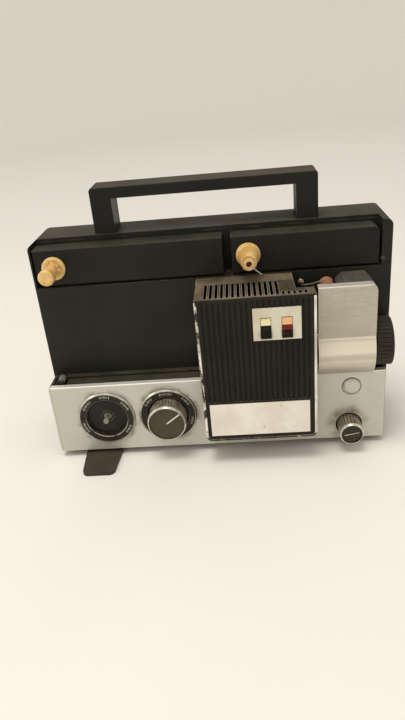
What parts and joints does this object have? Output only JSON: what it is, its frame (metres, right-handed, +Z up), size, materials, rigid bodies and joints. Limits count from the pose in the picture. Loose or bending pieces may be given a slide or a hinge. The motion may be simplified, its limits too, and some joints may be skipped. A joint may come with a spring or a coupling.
{
  "type": "movie projector",
  "caption": "Compact portable movie projector for small-gauge film, with folding reel arms, ribbed lamp house, side lens, dials and a sliding carry handle.",
  "frame": {"origin": "middle of the bounding box on the table plane", "axes": "+X to the lens side, along the light; +Y to the rear cover, away from the operator; +Z up"},
  "size_m": [0.2842, 0.1134, 0.219],
  "materials": {
    "black_plastic": "moulded, lightly worn",
    "black_metal": "black enamel, chipped at the edges",
    "panel_metal": "brushed",
    "bright_metal": "worn plating",
    "knob_alloy": "bright turned edge",
    "steel": "bare",
    "zinc_steel": "plated",
    "cream_plastic": "yellowed",
    "pale_plate": "printed plate",
    "red_plastic": "two-tone",
    "terracotta_plastic": "moulded",
    "rubber": "moulded",
    "glass": "clear",
    "ceramic": "ceramic",
    "mirror_metal": "polished inside",
    "copper_tape": "taped winding",
    "grey_roller": "moulded"
  },
  "bodies": {
    "case": {"rear_cover": "black_plastic", "front_case": "black_plastic", "lower_case": "black_plastic", "front_panel": "panel_metal", "base_plate": "zinc_steel", "rubber_feet": "rubber", "foot_rivet": "steel", "arm_pivots": "steel", "lamp_house_frame": "black_metal", "lamp_mirror": "mirror_metal", "lamp_socket": "ceramic", "aperture_plate": "steel", "pressure_plate": "steel", "lens_mount": "black_metal", "roller_pins": "steel", "dials": "black_plastic", "dial_rims": "bright_metal", "dial_controls": "black_plastic", "framing_cup": "black_plastic", "button_sleeve": "bright_metal", "chassis": "zinc_steel", "motor_can": "zinc_steel", "shutter_bearings": "zinc_steel", "drive_belt": "rubber", "transformer_core": "zinc_steel", "transformer_winding": "copper_tape", "power_inlet": "black_plastic", "case_screws": "steel"},
    "foot": {"swing_foot": "black_metal"},
    "handle": {"carry_handle": "black_plastic"},
    "supply_arm_body": {"supply_arm": "black_plastic"},
    "take_up_arm_body": {"take_up_arm": "black_plastic", "take_up_belt": "rubber"},
    "supply_reel_spindle": {"supply_spindle": "cream_plastic"},
    "take_up_reel_spindle": {"take_up_spindle": "cream_plastic"},
    "arm_drive_pulley": {"arm_pulley": "cream_plastic"},
    "lamp_cover": {"lamp_house_cover": "black_metal", "lamp_trim": "bright_metal", "switch_plate": "pale_plate", "label_plate": "pale_plate", "switch_block": "black_plastic"},
    "rocker_lamp": {"lamp_rocker": "cream_plastic"},
    "rocker_motor": {"motor_rocker": "red_plastic"},
    "gate_door": {"gate_cover": "panel_metal"},
    "lens": {"lens_barrel": "black_metal", "lens_glasses": "glass"},
    "ring": {"focus_ring": "black_plastic"},
    "roller_guide": {"guide_roller": "terracotta_plastic"},
    "roller_deck": {"deck_roller": "grey_roller"},
    "shaft_speed": {"speed_shaft": "cream_plastic"},
    "knob_function": {"function_knob": "knob_alloy", "function_pointer": "pale_plate"},
    "knob_framing": {"framing_knob": "knob_alloy"},
    "button": {"push_button": "bright_metal"},
    "rotor": {"motor_shaft": "steel", "fan_wheel": "black_plastic"},
    "shutter": {"shutter_disc": "black_metal", "shutter_shaft": "steel"}
  },
  "joints": [
    {"name": "handle_slide", "type": "slide", "parent": "case", "child": "handle", "axis": [0, 0, -1], "range_m": [0, 0.0265]},
    {"name": "foot_swing", "type": "hinge", "parent": "case", "child": "foot", "pos_m": [-0.10315, 0.01355, 0.003], "axis": [0, 0, 1], "range_deg": [0, 90]},
    {"name": "supply_arm_swing", "type": "hinge", "parent": "case", "child": "supply_arm_body", "pos_m": [0.12465, 0.00035, 0.1699], "axis": [0, 1, 0], "range_deg": [0, 95]},
    {"name": "take_up_arm_swing", "type": "hinge", "parent": "case", "child": "take_up_arm_body", "pos_m": [0.00405, 0.00035, 0.1699], "axis": [0, 1, 0], "range_deg": [0, 60]},
    {"name": "supply_spin", "type": "hinge", "parent": "supply_arm_body", "child": "supply_reel_spindle", "pos_m": [0.03145, 0.00035, 0.1631], "axis": [0, 1, 0], "continuous": true},
    {"name": "arm_pulley_spin", "type": "hinge", "parent": "take_up_arm_body", "child": "arm_drive_pulley", "pos_m": [0.00405, 0.00035, 0.1699], "axis": [0, 1, 0], "continuous": true},
    {"name": "take_up_spin", "type": "hinge", "parent": "take_up_arm_body", "child": "take_up_reel_spindle", "pos_m": [-0.12355, 0.00035, 0.1631], "axis": [0, 1, 0], "continuous": true},
    {"name": "lamp_cover_pull", "type": "slide", "parent": "case", "child": "lamp_cover", "axis": [0, -1, 0], "range_m": [0, 0.045]},
    {"name": "lamp_rocker_tip", "type": "hinge", "parent": "lamp_cover", "child": "rocker_lamp", "pos_m": [0.04115, -0.04495, 0.1202], "axis": [1, 0, 0], "range_deg": [0, 15]},
    {"name": "motor_rocker_tip", "type": "hinge", "parent": "lamp_cover", "child": "rocker_motor", "pos_m": [0.05695, -0.04495, 0.1202], "axis": [1, 0, 0], "range_deg": [0, 15]},
    {"name": "gate_cover_pull", "type": "slide", "parent": "case", "child": "gate_door", "axis": [0, -1, 0], "range_m": [0, 0.04]},
    {"name": "focus_turn", "type": "hinge", "parent": "case", "child": "ring", "pos_m": [0.12715, -0.01345, 0.0885], "axis": [1, 0, 0], "range_deg": [-135, 135]},
    {"name": "lens_slide", "type": "slide", "parent": "case", "child": "lens", "axis": [1, 0, 0], "range_m": [-0.003, 0.003]},
    {"name": "guide_roller_spin", "type": "hinge", "parent": "case", "child": "roller_guide", "pos_m": [0.09125, -0.00395, 0.1364], "axis": [0, 1, 0], "continuous": true},
    {"name": "deck_roller_spin", "type": "hinge", "parent": "case", "child": "roller_deck", "pos_m": [-0.13185, -0.01645, 0.0685], "axis": [0, 1, 0], "continuous": true},
    {"name": "speed_turn", "type": "hinge", "parent": "case", "child": "shaft_speed", "pos_m": [-0.09535, -0.02645, 0.0373], "axis": [0, -1, 0], "range_deg": [-135, 135]},
    {"name": "function_turn", "type": "hinge", "parent": "case", "child": "knob_function", "pos_m": [-0.04305, -0.02645, 0.0373], "axis": [0, -1, 0], "range_deg": [-120, 60]},
    {"name": "framing_turn", "type": "hinge", "parent": "case", "child": "knob_framing", "pos_m": [0.10715, -0.02645, 0.019], "axis": [0, -1, 0], "range_deg": [-60, 60]},
    {"name": "button_press", "type": "slide", "parent": "case", "child": "button", "axis": [0, 1, 0], "range_m": [0, 0.003], "stiffness_N_per_m": 400, "springref_m": -0.001},
    {"name": "motor_spin", "type": "hinge", "parent": "case", "child": "rotor", "pos_m": [0.00985, 0.02835, 0.036], "axis": [1, 0, 0], "continuous": true},
    {"name": "shutter_spin", "type": "hinge", "parent": "case", "child": "shutter", "pos_m": [0.07405, 0.01395, 0.0885], "axis": [1, 0, 0], "continuous": true}
  ],
  "couplings": [
    {"joint": "shutter_spin", "follows": "motor_spin", "ratio": 0.68354},
    {"joint": "arm_pulley_spin", "follows": "take_up_spin", "ratio": 2.1},
    {"joint": "focus_turn", "follows": "lens_slide", "rad_per_m": 785.4}
  ]
}
